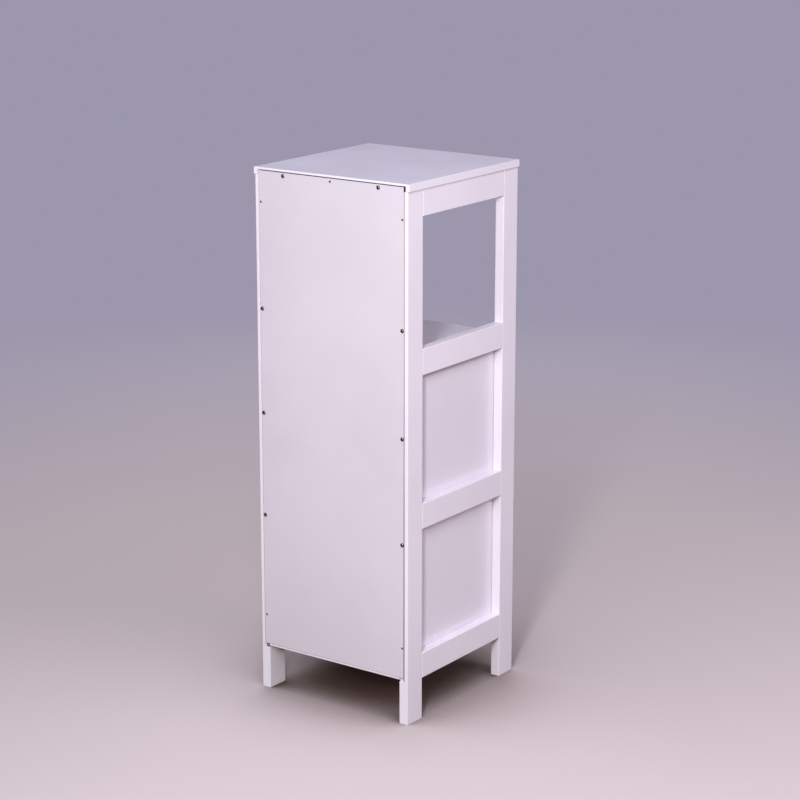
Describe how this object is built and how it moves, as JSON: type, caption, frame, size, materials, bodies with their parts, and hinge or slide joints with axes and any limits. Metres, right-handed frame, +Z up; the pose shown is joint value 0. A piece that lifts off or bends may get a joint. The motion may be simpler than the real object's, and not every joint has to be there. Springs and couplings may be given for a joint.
{
  "type": "freestanding bathroom cabinet",
  "caption": "Slim white cabinet on short legs: open bay at the top with side windows, framed sides, and a shaker door on butt hinges over a cupboard with a movable shelf.",
  "frame": {"origin": "middle of the footprint box on the floor, at the underside of the legs", "axes": "+Z is up, -Y is the front with the door, +X is to the right seen from the front"},
  "size_m": [0.3, 0.33, 0.87],
  "materials": {
    "painted_board": "satin white paint with a faint lilac cast on fibreboard, arrises eased",
    "painted_sheet": "smooth white coated thin fibreboard, raw brown on its edges",
    "dowel_wood": "bare beech",
    "zinc_cam": "die-cast zinc, dull grey",
    "zinc_steel": "zinc-plated steel",
    "nickel_screw": "dark burnished nickel-plated steel",
    "satin_nickel": "satin nickel plate",
    "white_plastic": "moulded white plastic",
    "ferrite": "sintered ferrite magnet, dark grey"
  },
  "bodies": {
    "cabinet": {"top_board": "painted_board", "fixed_shelf": "painted_board", "bottom_board": "painted_board", "adjustable_shelf": "painted_board", "left_front_stile": "painted_board", "left_back_stile": "painted_board", "left_top_rail": "painted_board", "left_upper_rail": "painted_board", "left_lower_rail": "painted_board", "left_bottom_rail": "painted_board", "right_front_stile": "painted_board", "right_back_stile": "painted_board", "right_top_rail": "painted_board", "right_upper_rail": "painted_board", "right_lower_rail": "painted_board", "right_bottom_rail": "painted_board", "back_panel": "painted_sheet", "left_infill_panel": "painted_sheet", "right_infill_panel": "painted_sheet", "left_frame_dowels": "dowel_wood", "right_frame_dowels": "dowel_wood", "top_dowels": "dowel_wood", "shelf_dowels": "dowel_wood", "bottom_dowels": "dowel_wood", "top_cam_locks": "zinc_cam", "shelf_cam_locks": "zinc_cam", "bottom_cam_locks": "zinc_cam", "top_cam_bolts": "zinc_steel", "shelf_cam_bolts": "zinc_steel", "bottom_cam_bolts": "zinc_steel", "shelf_pins": "zinc_steel", "catch_screws": "zinc_steel", "catch_pole_plates": "zinc_steel", "back_panel_screws": "nickel_screw", "upper_hinge_frame_leaf": "satin_nickel", "upper_hinge_pin": "satin_nickel", "lower_hinge_frame_leaf": "satin_nickel", "lower_hinge_pin": "satin_nickel", "hinge_frame_screws": "satin_nickel", "catch_housing": "white_plastic", "catch_magnet": "ferrite"},
    "door": {"door_hinge_stile": "painted_board", "door_latch_stile": "painted_board", "door_top_rail": "painted_board", "door_bottom_rail": "painted_board", "door_panel": "painted_sheet", "upper_hinge_door_leaf": "satin_nickel", "lower_hinge_door_leaf": "satin_nickel", "hinge_door_screws": "satin_nickel", "door_knob": "satin_nickel", "knob_screw": "zinc_steel", "strike_plate": "zinc_steel", "strike_screw": "zinc_steel"}
  },
  "joints": [
    {"name": "door_hinge", "type": "hinge", "parent": "cabinet", "child": "door", "pos_m": [-0.1304, -0.14395, 0.32], "axis": [0, 0, -1], "range_deg": [0, 180]}
  ]
}
